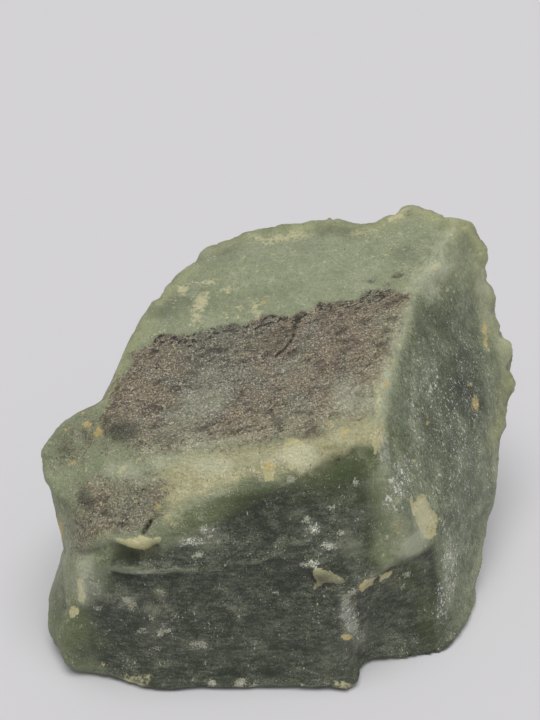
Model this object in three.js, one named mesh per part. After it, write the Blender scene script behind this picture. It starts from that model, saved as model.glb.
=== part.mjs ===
// Raw aventurine: one rough chunk of green quartz as it was broken from the vein.
// Units are millimetres and +Z is up. The stone rests on its flat broken underside (z = 0),
// and the origin is the bottom centre of its bounding box.
//
// The broken faces meet at hand-placed corners. They are joined into one closed cage, the cage
// is subdivided (sharp edges stay crisp, shallow ones are rounded), and a low uneven relief
// gives the faces the lumps and hollows of broken quartzite.

import * as THREE from 'three';
import { ImprovedNoise } from 'three/addons/math/ImprovedNoise.js';

// ---- Driving dimensions (mm, degrees) ----
const CREASE_ANGLE = 27; // edges that turn more than this stay sharp
const FINE_EDGE = 5.1; // longest edge left after the last cuts
const EDGE_WEAR = { least: 0.1, most: 0.85, spacing: 7 }; // from crisp edges to chipped ones
const NOISE_RANGE = { low: -0.3, high: 0.4 }; // where most of the noise lies
const RELIEF = [ // uneven relief of the broken faces: height and spacing of its lumps
  { height: 0.75, spacing: 13 },
  { height: 0.4, spacing: 5.5 },
];
const BASE_CLEARANCE = 0.05; // least height of the surface outside the flat underside
const STONE = { color: 0x6f8467, roughness: 0.72, metalness: 0 };

// ---- Corners of the broken faces: x to the right, y to the back, z up ----
const CORNERS = {
  // the sloping top face, a rough weathered seam
  seamWest: [-37.5, -11, 53],
  seamSouthWest: [-30, -21, 50],
  seamSouth: [0, -21, 52],
  apex: [19.5, -22, 52.5],
  seamNorthEast: [30, 17, 67],
  seamNorth: [0, 11, 63],
  seamNorthWest: [-29, 6, 60],

  // the upper rim behind it, from the left neck round to the right-hand top corner
  neck: [-38, -6, 52.5],
  rimWest: [-33.5, 9, 60.5],
  rimWestUpper: [-27.5, 25, 64.5],
  rimNorthWest: [-20.5, 37.6, 66.4],
  rimNorth: [-10.5, 45.3, 71],
  rimNorthMiddle: [6, 47.3, 71],
  rimBump: [14.5, 48, 73],
  rimDip: [24.5, 46, 72],
  peak: [33, 50, 75.4],
  rimNorthEast: [42.5, 46.5, 73.6],
  ridgeTop: [43, 36, 74.5],
  topCorner: [49.5, 45.5, 72.5],

  // the thin right-hand rim, from the top corner down to the foot
  rimEastTop: [54, 45.5, 65],
  rimEastNotch: [54, 43.5, 58.5],
  rimEastUpper: [57, 38.5, 47],
  rimEastElbow: [61, 35, 42.5],
  rimEastPoint: [62, 30.5, 33.5],
  rimEastLower: [57, 17, 26.5],
  rimEastHeel: [52.5, 5, 15],
  rimEastFoot: [49.8, -8, 6.5],

  // the steep right face, hollowed a little
  rightUpper: [42, 20.5, 54.5],
  rightMiddle: [35.5, -3.5, 44],
  rightLower: [38, -16, 31.5],

  // the blunt front ridge below the apex
  ridgeUpper: [23, -24.5, 45],
  ridgeLower: [25.5, -26.5, 38],

  // the front edge of the pale shoulder, dropping to the left
  shoulderEast: [12, -23, 51],
  shoulderMiddle: [4, -25, 47],
  shoulderWest: [-10, -28, 42.5],
  shoulderEnd: [-24.5, -33, 36],

  // the stepped ledge on the left, and the hollow under its lip
  ledgeTop: [-35, -27.5, 41.5],
  ledgeBack: [-41, -18, 45],
  lipWest: [-34.5, -34, 36],
  lipEast: [-27, -35, 34],
  underLip: [-31.5, -33, 31],

  // the knob on the far left and the notched left side below it
  knobBack: [-43, -8, 51],
  knobTop: [-47.5, -10.5, 49.5],
  knobWest: [-52.7, -14.5, 43.2],
  knobUnder: [-49.3, -20, 39],
  creaseTop: [-45, -24.5, 39.5],
  creaseUpper: [-44.5, -28, 29],
  creaseFront: [-40, -33.5, 26],
  creaseLower: [-45, -32, 17.5],
  leftNotch: [-47, -22.5, 22],
  leftBulge: [-51.5, -25, 11.5],
  leftHeel: [-52.3, -28, 4.5],
  heelCorner: [-47, -37.5, 2.5],

  // the hollowed upper front and the lip across its foot
  scoopWest: [-18.5, -33.5, 33.5],
  scoopMiddle: [-2, -28.5, 38],
  scoopEast: [13.5, -27, 39.5],
  frontLipEnd: [-34.5, -35.5, 30],
  frontLipWest: [-12, -35.5, 29.5],
  frontLipMiddle: [3, -33, 30.5],
  frontLipEast: [10.5, -34.5, 27],

  // the lower front face
  frontWest: [-39, -36, 13],
  frontMiddleWest: [-29, -38, 15],
  frontMiddle: [-12.5, -37.8, 15.5],
  frontMiddleEast: [4.5, -38, 15],
  blockEdge: [13.5, -38, 12],

  // the chipped-out recess at the lower right
  recessWest: [13.5, -36, 22],
  recessTop: [22, -31, 25.5],
  recessRidge: [27.5, -27, 28],
  recessEast: [34.5, -22, 26],
  underSpurWest: [19, -31, 21.5],
  underSpurMiddle: [24.5, -27.5, 23.5],
  underSpurEast: [30.5, -23.5, 25.5],
  recessCorner: [19.5, -32, 12],
  recessHollow: [28.5, -25.5, 14],
  recessFloorEast: [37.5, -22, 11],

  // the foot, where the flat underside ends
  footWest: [-48, -27, 0],
  footSouthWest: [-42.5, -36.5, 0],
  footSouth: [-25.5, -40, 0],
  footSouthMiddle: [-5, -40.2, 0],
  footBlock: [15.4, -40.7, 0],
  footNotch: [19, -33.5, 0],
  footRecess: [27, -32, 0],
  footRecessEast: [35, -29.5, 0],
  footSouthEast: [41, -25, 0],
  footEast: [47, -16, 0],
  footEastMiddle: [43, -2, 0],
  footEastBack: [45, 13, 0],
  footNorthEast: [33, 28, 0],
  footNorth: [21, 40, 0],
  footNorthMiddle: [-2, 36, 0],
  footNorthWest: [-21, 33, 0],
  footWestBack: [-40, 14, 0],
  footWestMiddle: [-44, -7, 0],

  // the back and the left side
  leftMiddle: [-46, -9, 27],
  leftUpper: [-48.5, -2, 41],
  backWest: [-43, 13, 38],
  backNorthWest: [-29, 39, 50],
  backNorth: [-9, 49, 42],
  backNorthMiddle: [17, 51.5, 56],
  backNorthEast: [38, 51.5, 46],
  backEast: [54, 39, 36],
  leftLow: [-50.5, -5, 14],
  lowWest: [-45, 17, 9],
  lowNorthWest: [-30, 38, 20],
  lowNorth: [-8, 47, 11],
  lowNorthMiddle: [19, 50, 23],
  lowNorthEast: [37, 43, 12],
  lowEast: [51, 25, 19],
};

// ---- Broken faces: the corners of each, counter-clockwise from outside ----
const FACES = [
  // top face and the pale band behind it
  'seamWest seamSouthWest seamSouth apex seamNorthEast seamNorth seamNorthWest',
  'neck seamWest seamNorthWest rimWest',
  'seamNorthWest rimWestUpper rimWest',
  'seamNorthWest seamNorth rimNorthWest rimWestUpper',
  'seamNorth rimNorthMiddle rimNorth rimNorthWest',
  'seamNorth seamNorthEast rimDip rimBump rimNorthMiddle',
  'seamNorthEast ridgeTop rimNorthEast peak rimDip',
  'ridgeTop topCorner rimNorthEast',

  // right face
  'apex rightMiddle rightUpper seamNorthEast',
  'seamNorthEast rightUpper ridgeTop',
  'ridgeTop rightUpper rimEastTop topCorner',
  'rightUpper rimEastNotch rimEastTop',
  'rightUpper rimEastUpper rimEastNotch',
  'rightUpper rightMiddle rimEastElbow rimEastUpper',
  'rightMiddle rimEastPoint rimEastElbow',
  'rightMiddle rightLower rimEastLower rimEastPoint',
  'rightLower rimEastHeel rimEastLower',
  'rightLower recessFloorEast rimEastFoot rimEastHeel',
  'recessFloorEast footSouthEast footEast rimEastFoot',
  'apex ridgeUpper rightMiddle',
  'ridgeUpper ridgeLower rightLower rightMiddle',
  'ridgeLower recessRidge recessEast rightLower',
  'recessEast recessFloorEast rightLower',

  // shoulder, ledge and knob
  'seamSouth shoulderMiddle shoulderEast apex',
  'seamSouthWest shoulderWest shoulderMiddle seamSouth',
  'seamSouthWest ledgeTop shoulderEnd shoulderWest',
  'ledgeTop lipWest lipEast shoulderEnd',
  'seamWest neck knobBack',
  'seamWest knobBack ledgeBack',
  'seamSouthWest seamWest ledgeBack',
  'seamSouthWest ledgeBack ledgeTop',
  'ledgeBack knobBack knobTop knobWest',
  'ledgeBack knobWest knobUnder creaseTop',
  'ledgeBack creaseTop lipWest ledgeTop',

  // hollow under the lip and the front left corner
  'lipEast lipWest underLip',
  'shoulderEnd lipEast underLip',
  'shoulderEnd underLip scoopWest',
  'underLip frontLipEnd frontLipWest scoopWest',
  'lipWest creaseTop creaseUpper',
  'lipWest creaseUpper creaseFront underLip',
  'underLip creaseFront frontLipEnd',
  'frontLipEnd creaseFront frontWest',
  'creaseFront creaseLower frontWest',
  'creaseUpper creaseLower creaseFront',

  // scooped upper front
  'apex shoulderEast scoopEast ridgeUpper',
  'shoulderEast shoulderMiddle scoopMiddle scoopEast',
  'shoulderMiddle shoulderWest scoopWest scoopMiddle',
  'shoulderWest shoulderEnd scoopWest',
  'scoopWest frontLipWest frontLipMiddle scoopMiddle',
  'scoopMiddle frontLipMiddle frontLipEast scoopEast',
  'scoopEast frontLipEast recessWest recessTop',
  'scoopEast recessTop recessRidge',
  'ridgeUpper scoopEast recessRidge ridgeLower',

  // lower front
  'frontLipEnd frontWest frontMiddleWest frontLipWest',
  'frontLipWest frontMiddleWest frontMiddle frontLipMiddle',
  'frontLipMiddle frontMiddle frontMiddleEast frontLipEast',
  'frontLipEast frontMiddleEast recessWest',
  'frontMiddleEast blockEdge recessWest',
  'frontWest footSouthWest footSouth frontMiddleWest',
  'frontMiddleWest footSouth frontMiddle',
  'frontMiddle footSouth footSouthMiddle frontMiddleEast',
  'frontMiddleEast footSouthMiddle footBlock blockEdge',

  // recess
  'recessWest underSpurWest recessTop',
  'recessTop underSpurWest underSpurMiddle',
  'recessTop underSpurMiddle underSpurEast recessRidge',
  'recessRidge underSpurEast recessEast',
  'recessWest blockEdge recessCorner underSpurWest',
  'underSpurWest recessCorner recessHollow underSpurMiddle',
  'underSpurMiddle recessHollow underSpurEast',
  'underSpurEast recessHollow recessFloorEast recessEast',
  'blockEdge footBlock footNotch recessCorner',
  'recessCorner footNotch footRecess',
  'recessCorner footRecess recessHollow',
  'recessHollow footRecess footRecessEast recessFloorEast',
  'recessFloorEast footRecessEast footSouthEast',

  // narrow left side
  'creaseTop knobUnder leftNotch creaseUpper',
  'creaseUpper leftNotch leftBulge creaseLower',
  'creaseLower leftBulge leftHeel',
  'creaseLower leftHeel heelCorner frontWest',
  'leftHeel footWest footSouthWest heelCorner',
  'heelCorner footSouthWest frontWest',

  // left side and back
  'neck rimWest backWest leftUpper',
  'knobBack neck leftUpper',
  'knobTop knobBack leftUpper',
  'knobWest knobTop leftUpper',
  'knobUnder knobWest leftUpper leftMiddle',
  'leftNotch knobUnder leftMiddle',
  'leftNotch leftMiddle leftLow leftBulge',
  'leftMiddle leftUpper backWest lowWest leftLow',
  'leftBulge leftLow leftHeel',
  'leftHeel leftLow footWestMiddle footWest',
  'leftLow lowWest footWestBack footWestMiddle',
  'rimWest rimWestUpper backNorthWest backWest',
  'rimWestUpper rimNorthWest backNorthWest',
  'backWest backNorthWest lowNorthWest lowWest',
  'lowWest lowNorthWest footNorthWest footWestBack',
  'rimNorthWest rimNorth backNorth backNorthWest',
  'rimNorth rimNorthMiddle backNorth',
  'rimNorthMiddle rimBump rimDip backNorthMiddle backNorth',
  'rimDip peak backNorthEast backNorthMiddle',
  'backNorthWest backNorth lowNorth lowNorthWest',
  'lowNorthWest lowNorth footNorthMiddle footNorthWest',
  'backNorth backNorthMiddle lowNorthMiddle lowNorth',
  'lowNorth lowNorthMiddle footNorth footNorthMiddle',
  'backNorthMiddle backNorthEast lowNorthEast lowNorthMiddle',
  'lowNorthMiddle lowNorthEast footNorthEast footNorth',
  'peak rimNorthEast backNorthEast',
  'rimNorthEast topCorner backNorthEast',
  'topCorner rimEastTop backNorthEast',
  'rimEastTop rimEastNotch backNorthEast',
  'rimEastNotch rimEastUpper backEast backNorthEast',
  'rimEastUpper rimEastElbow backEast',
  'rimEastElbow rimEastPoint backEast',
  'backNorthEast backEast lowEast lowNorthEast',
  'backEast rimEastPoint rimEastLower lowEast',
  'lowNorthEast lowEast footEastBack footNorthEast',
  'lowEast rimEastLower rimEastHeel',
  'lowEast rimEastHeel footEastMiddle footEastBack',
  'rimEastHeel rimEastFoot footEastMiddle',
  'rimEastFoot footEast footEastMiddle',

  // flat underside
  'footWestMiddle footWestBack footNorthWest footNorthMiddle footNorth footNorthEast footEastBack'
    + ' footEastMiddle footEast footSouthEast footRecessEast footRecess footNotch footBlock'
    + ' footSouthMiddle footSouth footSouthWest footWest',
];

// ---- A mesh here is { points: [Vector3], triangles: [[a, b, c]] } ----

// The direction that a polygon of 3-D points faces.
function polygonNormal(points) {
  const normal = new THREE.Vector3();
  points.forEach((point, i) => {
    const next = points[(i + 1) % points.length];
    normal.add(new THREE.Vector3().crossVectors(point, next));
  });
  return normal.normalize();
}

// Cuts one face into triangles, in the plane that it lies closest to.
function triangulate(points) {
  const normal = polygonNormal(points);
  const side = new THREE.Vector3().subVectors(points[1], points[0]);
  side.addScaledVector(normal, -side.dot(normal)).normalize();
  const up = new THREE.Vector3().crossVectors(normal, side);
  const flat = points.map((point) => new THREE.Vector2(point.dot(side), point.dot(up)));
  return THREE.ShapeUtils.triangulateShape(flat, []);
}

function buildCage() {
  const names = Object.keys(CORNERS);
  const points = names.map((name) => new THREE.Vector3(...CORNERS[name]));
  const triangles = [];
  for (const face of FACES) {
    const corners = face.split(' ').map((name) => names.indexOf(name));
    const cut = triangulate(corners.map((corner) => points[corner]));
    cut.forEach((triangle) => triangles.push(triangle.map((i) => corners[i])));
  }
  return { points, triangles };
}

function edgeKey(a, b) {
  return a < b ? `${a}_${b}` : `${b}_${a}`;
}

function triangleNormal(points, [a, b, c]) {
  return polygonNormal([points[a], points[b], points[c]]);
}

// Every edge once, with its two ends, the two points opposite it, and whether it is sharp.
function findEdges({ points, triangles }) {
  const edges = new Map();
  const normals = triangles.map((triangle) => triangleNormal(points, triangle));
  triangles.forEach((triangle, t) => {
    for (let i = 0; i < 3; i += 1) {
      const a = triangle[i];
      const b = triangle[(i + 1) % 3];
      const key = edgeKey(a, b);
      const edge = edges.get(key) ?? { ends: [a, b], opposite: [], normals: [] };
      edge.opposite.push(triangle[(i + 2) % 3]);
      edge.normals.push(normals[t]);
      edges.set(key, edge);
    }
  });
  const limit = THREE.MathUtils.degToRad(CREASE_ANGLE);
  for (const edge of edges.values()) {
    edge.sharp = edge.normals[0].angleTo(edge.normals[1]) > limit;
  }
  return edges;
}

// Cuts each triangle at the new points on its edges. An edge without one stays whole.
function splitTriangle([a, b, c], middles) {
  const ab = middles.get(edgeKey(a, b));
  const bc = middles.get(edgeKey(b, c));
  const ca = middles.get(edgeKey(c, a));
  const count = [ab, bc, ca].filter((middle) => middle !== undefined).length;
  if (count === 0) return [[a, b, c]];
  if (count === 3) return [[a, ab, ca], [ab, b, bc], [ca, bc, c], [ab, bc, ca]];
  if (ab === undefined) return splitTriangle([b, c, a], middles);
  if (count === 1) return [[a, ab, c], [ab, b, c]];
  if (bc === undefined) return [[a, ab, ca], [ab, b, c], [ab, c, ca]];
  return [[ab, b, bc], [a, ab, bc], [a, bc, c]];
}

// Puts a new point on each chosen edge and cuts the triangles there.
function splitEdges(mesh, edges, placeMiddle) {
  const points = [...mesh.points];
  const middles = new Map();
  for (const [key, edge] of edges) {
    const middle = placeMiddle(edge);
    if (middle) {
      middles.set(key, points.length);
      points.push(middle);
    }
  }
  return { points, triangles: mesh.triangles.flatMap((triangle) => splitTriangle(triangle, middles)) };
}

function middleOf(points, [a, b]) {
  return new THREE.Vector3().addVectors(points[a], points[b]).multiplyScalar(0.5);
}

function splitEveryEdge(mesh) {
  return splitEdges(mesh, findEdges(mesh), (edge) => middleOf(mesh.points, edge.ends));
}

// Splits edges longer than the limit until none is left.
function splitLongEdges(mesh) {
  const tooLong = ([a, b]) => mesh.points[a].distanceTo(mesh.points[b]) > FINE_EDGE;
  const placeMiddle = ({ ends }) => (tooLong(ends) ? middleOf(mesh.points, ends) : null);
  const split = splitEdges(mesh, findEdges(mesh), placeMiddle);
  return split.triangles.length > mesh.triangles.length ? splitLongEdges(split) : mesh;
}

// Weights of Loop subdivision: the pull of the two points across a smooth edge on its middle,
// of the next points along a sharp edge, and of all neighbours around a smooth point.
const LOOP_WEIGHT = { across: 1 / 4, along: 1 / 8, aroundThree: 3 / 16, aroundMany: 3 / 8 };

// One step of Loop subdivision. Sharp edges bend only along themselves, and points where
// three or more of them meet stay put.
function subdivide(mesh) {
  const { points } = mesh;
  const edges = findEdges(mesh);
  const neighbours = points.map(() => ({ all: [], sharp: [] }));
  for (const { ends: [a, b], sharp } of edges.values()) {
    neighbours[a].all.push(b);
    neighbours[b].all.push(a);
    if (sharp) {
      neighbours[a].sharp.push(b);
      neighbours[b].sharp.push(a);
    }
  }
  const placeMiddle = ({ ends, opposite, sharp }) => {
    const middle = middleOf(points, ends);
    return sharp ? middle : middle.lerp(middleOf(points, opposite), LOOP_WEIGHT.across);
  };
  const split = splitEdges(mesh, edges, placeMiddle);
  const towards = (i, others, weight) => {
    const moved = points[i].clone().multiplyScalar(1 - weight * others.length);
    others.forEach((other) => moved.addScaledVector(points[other], weight));
    return moved;
  };
  points.forEach((point, i) => {
    const { all, sharp } = neighbours[i];
    if (sharp.length > 2) return;
    const { along, aroundThree, aroundMany } = LOOP_WEIGHT;
    const around = all.length === 3 ? aroundThree : aroundMany / all.length;
    split.points[i] = sharp.length === 2 ? towards(i, sharp, along) : towards(i, all, around);
  });
  return split;
}

// Takes the knife edge off every corner, a little or a lot, which leaves the edges chipped.
// The underside stays flat.
function wearEdges(mesh) {
  const noise = new ImprovedNoise();
  const { least, most, spacing } = EDGE_WEAR;
  const sums = mesh.points.map(() => ({ total: new THREE.Vector3(), count: 0 }));
  for (const { ends: [a, b] } of findEdges(mesh).values()) {
    sums[a].total.add(mesh.points[b]);
    sums[b].total.add(mesh.points[a]);
    sums[a].count += 1;
    sums[b].count += 1;
  }
  const points = mesh.points.map((point, i) => {
    const target = sums[i].total.divideScalar(sums[i].count);
    const chance = noise.noise(point.x / spacing, point.y / spacing, point.z / spacing);
    const share = THREE.MathUtils.smoothstep(chance, NOISE_RANGE.low, NOISE_RANGE.high);
    const wear = THREE.MathUtils.lerp(least, most, share);
    const moved = point.clone().lerp(target, wear);
    return point.z === 0 ? moved.setZ(0) : moved;
  });
  return { points, triangles: mesh.triangles };
}

function toGeometry({ points, triangles }) {
  const geometry = new THREE.BufferGeometry().setFromPoints(points);
  geometry.setIndex(triangles.flat());
  geometry.computeVertexNormals();
  return geometry;
}

// Raises and lowers the broken faces unevenly. The underside moves only within its plane.
function addRelief(geometry) {
  const noise = new ImprovedNoise();
  const position = geometry.attributes.position;
  const normal = geometry.attributes.normal;
  for (let i = 0; i < position.count; i += 1) {
    const point = new THREE.Vector3().fromBufferAttribute(position, i);
    const direction = new THREE.Vector3().fromBufferAttribute(normal, i);
    const isBase = point.z === 0;
    let lift = 0;
    RELIEF.forEach(({ height, spacing }) => {
      lift += height * noise.noise(point.x / spacing, point.y / spacing, point.z / spacing);
    });
    point.addScaledVector(direction, lift);
    position.setXYZ(i, point.x, point.y, isBase ? 0 : Math.max(point.z, BASE_CLEARANCE));
  }
  geometry.computeVertexNormals();
  return geometry;
}

// Moves the stone so that the bottom centre of its box is the origin.
function centreOnBase(mesh) {
  const box = new THREE.Box3().setFromObject(mesh);
  const middle = box.getCenter(new THREE.Vector3());
  mesh.position.set(-middle.x, -middle.y, -box.min.z);
}

function aventurineChunk() {
  const surface = wearEdges(splitLongEdges(subdivide(splitEveryEdge(buildCage()))));
  const geometry = addRelief(toGeometry(surface));
  const mesh = new THREE.Mesh(geometry, new THREE.MeshStandardMaterial(STONE));
  mesh.name = 'aventurine_chunk';
  centreOnBase(mesh);
  return mesh;
}

const group = new THREE.Group();
group.add(aventurineChunk());

export default group;
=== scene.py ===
"""Raw aventurine: the broken green stone, its weathered seam, chips and dust, around the CAD solid."""

import itertools
import math

import bmesh
import bpy
import numpy as np
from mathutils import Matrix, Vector
from mathutils.bvhtree import BVHTree


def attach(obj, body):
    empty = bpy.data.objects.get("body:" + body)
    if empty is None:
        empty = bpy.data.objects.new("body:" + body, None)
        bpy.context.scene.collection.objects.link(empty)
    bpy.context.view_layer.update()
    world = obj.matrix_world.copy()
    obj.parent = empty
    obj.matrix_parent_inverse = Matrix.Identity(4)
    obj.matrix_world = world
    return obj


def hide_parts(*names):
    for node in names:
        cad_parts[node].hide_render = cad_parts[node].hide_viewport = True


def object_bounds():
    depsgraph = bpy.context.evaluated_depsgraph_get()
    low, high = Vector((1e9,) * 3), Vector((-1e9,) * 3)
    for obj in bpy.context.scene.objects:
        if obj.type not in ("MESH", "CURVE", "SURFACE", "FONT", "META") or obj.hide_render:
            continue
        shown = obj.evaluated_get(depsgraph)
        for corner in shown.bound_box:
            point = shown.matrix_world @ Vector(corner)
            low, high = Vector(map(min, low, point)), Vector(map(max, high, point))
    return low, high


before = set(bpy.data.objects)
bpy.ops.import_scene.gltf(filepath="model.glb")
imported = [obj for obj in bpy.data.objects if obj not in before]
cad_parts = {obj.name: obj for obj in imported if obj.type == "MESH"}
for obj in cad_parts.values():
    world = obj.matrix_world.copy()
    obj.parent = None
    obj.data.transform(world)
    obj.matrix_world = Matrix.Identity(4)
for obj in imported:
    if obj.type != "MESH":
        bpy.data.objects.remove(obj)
cad_low, cad_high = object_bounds()

MM = 0.001
NODE = "aventurine_chunk"

# ---- The camera of the reference view (mm and degrees, in the frame of the part) ----
CAMERA_PLACE = np.array([-6.863, -194.344, 172.0])
CAMERA_PITCH = 31.0
LENS = 50.0
SENSOR = 36.0
IMAGE_WIDTH = 540
IMAGE_HEIGHT = 720
FOCAL_PIXELS = IMAGE_HEIGHT * LENS / SENSOR

# ---- The studio ----
FLOOR_SIZE = 6.0  # metres
FLOOR_GREY = (0.745, 0.73, 0.745, 1)
SKY_WHITE = (0.97, 0.98, 1.0, 1)
SKY_STRENGTH = 0.3
SOFTBOX_LEAN = 5.0  # degrees from upright, towards the viewer
SOFTBOX_WIDTH = 50.0  # degrees
SOFTBOX_STRENGTH = 1.87

# ---- The fine mesh (lengths in mm) ----
SHARP_ANGLE = math.radians(35)
KEPT_CREASE = 0.7
ROUNDING_LEVELS = 2
VOXEL = 0.66
OUTREACH = 1.0  # how far the skin may stand out of the CAD box
BORDER_ROUNDS = 40  # smoothing rounds over which the seen and the hidden side run into each other

# ---- The noises (sizes in mm) ----
SEED = 7
NOISE_GAIN = 1.6
LAYER_SHIFT = 17.3
RAGGED_SIZE = 4.5
FINE_SIZE = 1.6

# ---- The relief (mm): how wide its forms are, and how high or deep ----
LUMP_SIZE = 11
LUMP_HEIGHT = 0.30
HACKLE_SIZE = 5.5
HACKLE_HEIGHT = 0.20
STAIR_LUMPS = 30
STAIR_SPACING = 13
STAIR_DIRECTION = np.array([0.5, 0.3, 0.9])
STAIR_HEIGHT = 0.9
SEAM_DEPTH = 0.3
PITTED_DEPTH = 0.25
PIT_DEPTH = 0.36
PIT_SIZES = np.array([3.0, 1.5, 1.5])
PIT_TURN = np.array([[0.55, 0.25, 0.1], [-0.3, 0.9, 0.2], [0.0, 0.2, 1.0]]).T
SEAM_GRAIN_SIZE = 1.3
SEAM_GRAIN_HEIGHT = 0.16
SKIN_GRAIN_SIZE = 1.6
SKIN_GRAIN_HEIGHT = 0.04
BITE_SIZE = 4.2
BITE_DEPTH = 0.5
RIM_BITE_DEPTH = 0.4
RIM_BITE_REACH = 2.5
HOLLOW_SIZE = 16
HOLLOW_DEPTH = 0.9
UNDERCUT = 0.9  # how far the rim of the underside curls up off the table
FOOT_HEIGHT = 3.5
FOOT_REACH = 0.8  # how far the foot of the sides reaches out over that rim
LIP_SHARE = 0.25  # how proud a ledge stands, as a share of the drop below it
THIN = 6.0  # where thinness has fallen to about a third
THICKEST = 60.0
RAY_START = 0.3  # how far under the skin its thickness is measured from

# ---- Sizes of the marks on the hidden side (mm) ----
HIDDEN_SEAM_SIZES = np.array([46.0, 46.0, 15.0])
HIDDEN_FRESH_SIZE = 30
HIDDEN_GLOW_SIZE = 24
HIDDEN_GRIT_SIZE = 12
HIDDEN_DUST_SIZE = 9
HIDDEN_STAIN_SIZE = 7

# ---- Outlines and marks of the reference view, in pixels of the 540 x 720 image ----
# what stands for outside an outline (mm) or an ellipse
FAR_OUTSIDE = -20.0
OUT_OF_ELLIPSE = -5.0
END_FADE = 0.12  # the share of its length over which a line fades at each end
# where in the image, across or down, an effect begins and where it is full
SEAM_BLURS_LEFT = (150.0, 115.0)
PITTED_FROM = (120.0, 160.0)
LEDGE_FADES_UP = (525.0, 480.0)
FRESH_BLURS_LEFT = (135.0, 105.0)
SMOOTH_LEFT = (390.0, 320.0)
# an ellipse is its centre, half length, half width (pixels), turn (degrees) and maybe a strength
# where the scoop's border is blurred, and where old skin covers the top of the right face
SCOOP_SIDE = (376, 508, 34, 52, 0)
SCOOP_TOP = (215, 508, 56, 26, 25)
RIGHT_FACE_TOP = (462, 240, 46, 62, 0)
# the rough brown seam across the upper face, and its smaller patch on the ledge
SEAM_UPPER_EDGE = [
    (100, 430), (100, 411), (107, 394), (117, 377), (134, 351), (151, 341), (163, 332), (190, 333),
    (206, 328), (217, 322), (243, 323), (255, 320), (274, 314), (295, 314), (304, 308), (317, 302),
    (340, 298), (356, 298), (365, 291), (395, 288), (410, 293),
]
SEAM_LOWER_EDGE = [
    (408, 312), (404, 330), (397, 352), (388, 374), (382, 396), (374, 411), (350, 420), (326, 430),
    (311, 437), (283, 441), (250, 446), (224, 449), (196, 452), (169, 455), (135, 456), (110, 446),
]
LEDGE_SEAM = [
    (76, 482), (100, 474), (126, 471), (159, 474), (172, 481), (166, 503), (160, 520), (150, 537),
    (111, 539), (92, 548), (72, 562), (66, 532), (70, 508),
]
# small pitted islands above the seam
SEAM_ISLANDS = [(397, 275, 9, 3, 10), (372, 280, 6, 2, 0), (388, 284, 9, 3, 8), (352, 293, 8, 3, 10)]
# the browned knob at the far left
KNOB = [(44, 458), (60, 430), (84, 411), (102, 403), (106, 425), (100, 452), (84, 470), (58, 472)]
# the pale shoulder under the seam
SHOULDER = [
    (160, 464), (185, 458), (225, 450), (283, 442), (325, 431), (366, 416), (382, 424), (378, 438),
    (347, 451), (317, 464), (278, 472), (250, 478), (225, 482), (202, 490), (182, 503), (170, 518),
    (166, 500), (164, 480),
]
# fresh dark faces, their darkness partly painted shade of faces turned from the light: the scoop, the lower
# front and the recess at the right
FRESH_AND_SHADED_BREAK = [
    (112, 552), (120, 546), (130, 551), (145, 556), (158, 550), (175, 541), (194, 530), (212, 516),
    (232, 500), (252, 489), (280, 482), (316, 473), (342, 462), (367, 449), (370, 460), (369, 480),
    (377, 505), (381, 530), (373, 556), (384, 570), (409, 557), (437, 541), (439, 566), (446, 596),
    (452, 609), (457, 639), (446, 655), (409, 664), (363, 670), (340, 700), (150, 700), (104, 684),
    (92, 662), (87, 640), (83, 612), (85, 592), (98, 574),
]
# the pale strip between the seam and the ridge
RIDGE_STRIP = [
    (457, 228), (443, 262), (431, 270), (417, 297), (409, 330), (388, 400), (381, 449), (367, 438),
    (372, 408), (382, 378), (391, 350), (399, 320), (405, 290), (420, 262), (436, 232),
]
# the steep face at the right
RIGHT_FACE = [
    (455, 228), (442, 262), (430, 270), (416, 297), (408, 330), (386, 400), (380, 445), (392, 476),
    (401, 510), (412, 545), (437, 541), (439, 566), (446, 596), (452, 609), (457, 645), (540, 640),
    (540, 220),
]
# a sharp edge that overhangs what lies below it: line, drop (mm) and how far the drop reaches (mm)
LEDGES = [
    ([(98, 566), (122, 573), (158, 572), (190, 571)], 0.45, 4.0),
    ([(90, 570), (158, 574), (220, 571), (250, 564), (296, 560), (322, 574), (345, 588)], 0.5, 9.0),
    ([(356, 590), (370, 578), (387, 569), (409, 558), (427, 547), (437, 538)], 0.5, 4.0),
    ([(72, 549), (92, 545), (111, 539), (134, 548), (150, 546), (160, 538)], 0.7, 4.0),
    ([(208, 500), (250, 496), (285, 486), (316, 464), (345, 450), (372, 436)], 0.4, 7.0),
]
# narrow dark grooves: line, half width (mm), depth (mm), darkness
CRACKS = [
    ([(295, 328), (290, 340), (284, 348), (273, 357)], 0.2, 0.4, 1.0),
    ([(152, 518), (150, 523), (146, 528), (144, 536)], 0.24, 0.9, 1.0),
    ([(57, 536), (60, 552), (61, 572), (63, 592), (65, 616)], 0.3, 0.3, 0.3),
]
# the thin translucent rims at the back and at the right, where a glow of light through the stone is painted:
# line and width (mm)
RIMS = [
    ([(455, 220), (478, 230), (489, 262), (488, 282), (497, 320), (512, 345), (515, 385), (509, 420),
      (503, 440)], 3.2),
    ([(503, 440), (497, 470), (492, 511), (482, 560)], 1.0),
    ([(105, 395), (125, 345), (148, 310), (179, 271), (199, 252), (241, 232), (262, 226), (310, 224),
      (348, 219), (374, 224), (410, 207), (430, 214), (455, 220)], 2.2),
]
# lobes and notches of the outline: centre and radius (pixels), height (mm, negative is a notch)
LOBES = [
    (487, 253, 16, 1.3), (495, 294, 18, 1.5), (505, 333, 10, -1.0), (513, 349, 11, 0.8),
    (513, 367, 9, -0.9), (515, 388, 11, 0.7), (509, 405, 8, -0.6), (506, 428, 14, 1.2),
    (494, 495, 30, 1.4), (460, 642, 36, 1.6), (418, 654, 46, 1.7), (350, 684, 18, 1.2),
    (158, 686, 46, 1.6), (245, 688, 60, 0.9), (44, 473, 20, 1.1), (204, 250, 15, 1.7),
    (328, 218, 28, 0.8), (411, 208, 24, 1.3), (160, 293, 12, -1.0),
]
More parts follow.
